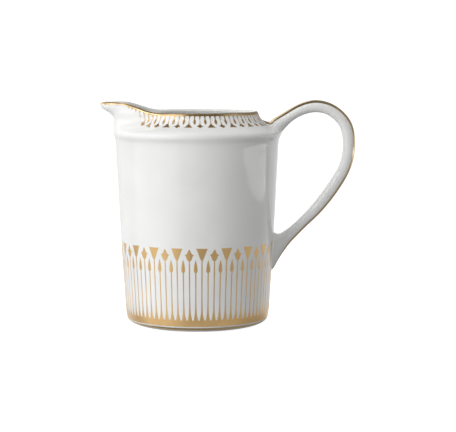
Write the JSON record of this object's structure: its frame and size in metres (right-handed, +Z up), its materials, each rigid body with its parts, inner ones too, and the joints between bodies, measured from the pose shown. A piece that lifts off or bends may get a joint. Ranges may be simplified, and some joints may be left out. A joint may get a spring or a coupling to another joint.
{
  "type": "cream jug",
  "caption": "Tapered white porcelain cream jug with a curled spout, looped handle, gilt rim and gold lotus friezes.",
  "frame": {"origin": "on the jug's turning axis, in the plane that the foot ring stands on", "axes": "+Z up along the turning axis, +X towards the handle, -X towards the spout, XZ is the plane of symmetry"},
  "size_m": [0.1165, 0.0764, 0.1019],
  "materials": {
    "porcelain": "clear glazed white hard-paste porcelain, very smooth and glossy",
    "fired_slip": "white clay slip fired under the glaze",
    "bright_gold": "burnished gold, mirror bright",
    "matte_gold": "matte fired gold print, satin"
  },
  "bodies": {
    "root": {"body": "porcelain", "handle": "porcelain", "upper_slip_joint": "fired_slip", "lower_slip_joint": "fired_slip", "rim_gilding": "bright_gold", "handle_gilding": "bright_gold", "foot_gilding": "bright_gold", "base_band": "matte_gold", "base_fans": "matte_gold", "base_fleurs": "matte_gold", "base_buds": "matte_gold", "collar_fans": "matte_gold", "collar_fleurs": "matte_gold", "collar_buds": "matte_gold", "collar_stubs": "matte_gold"}
  },
  "joints": []
}
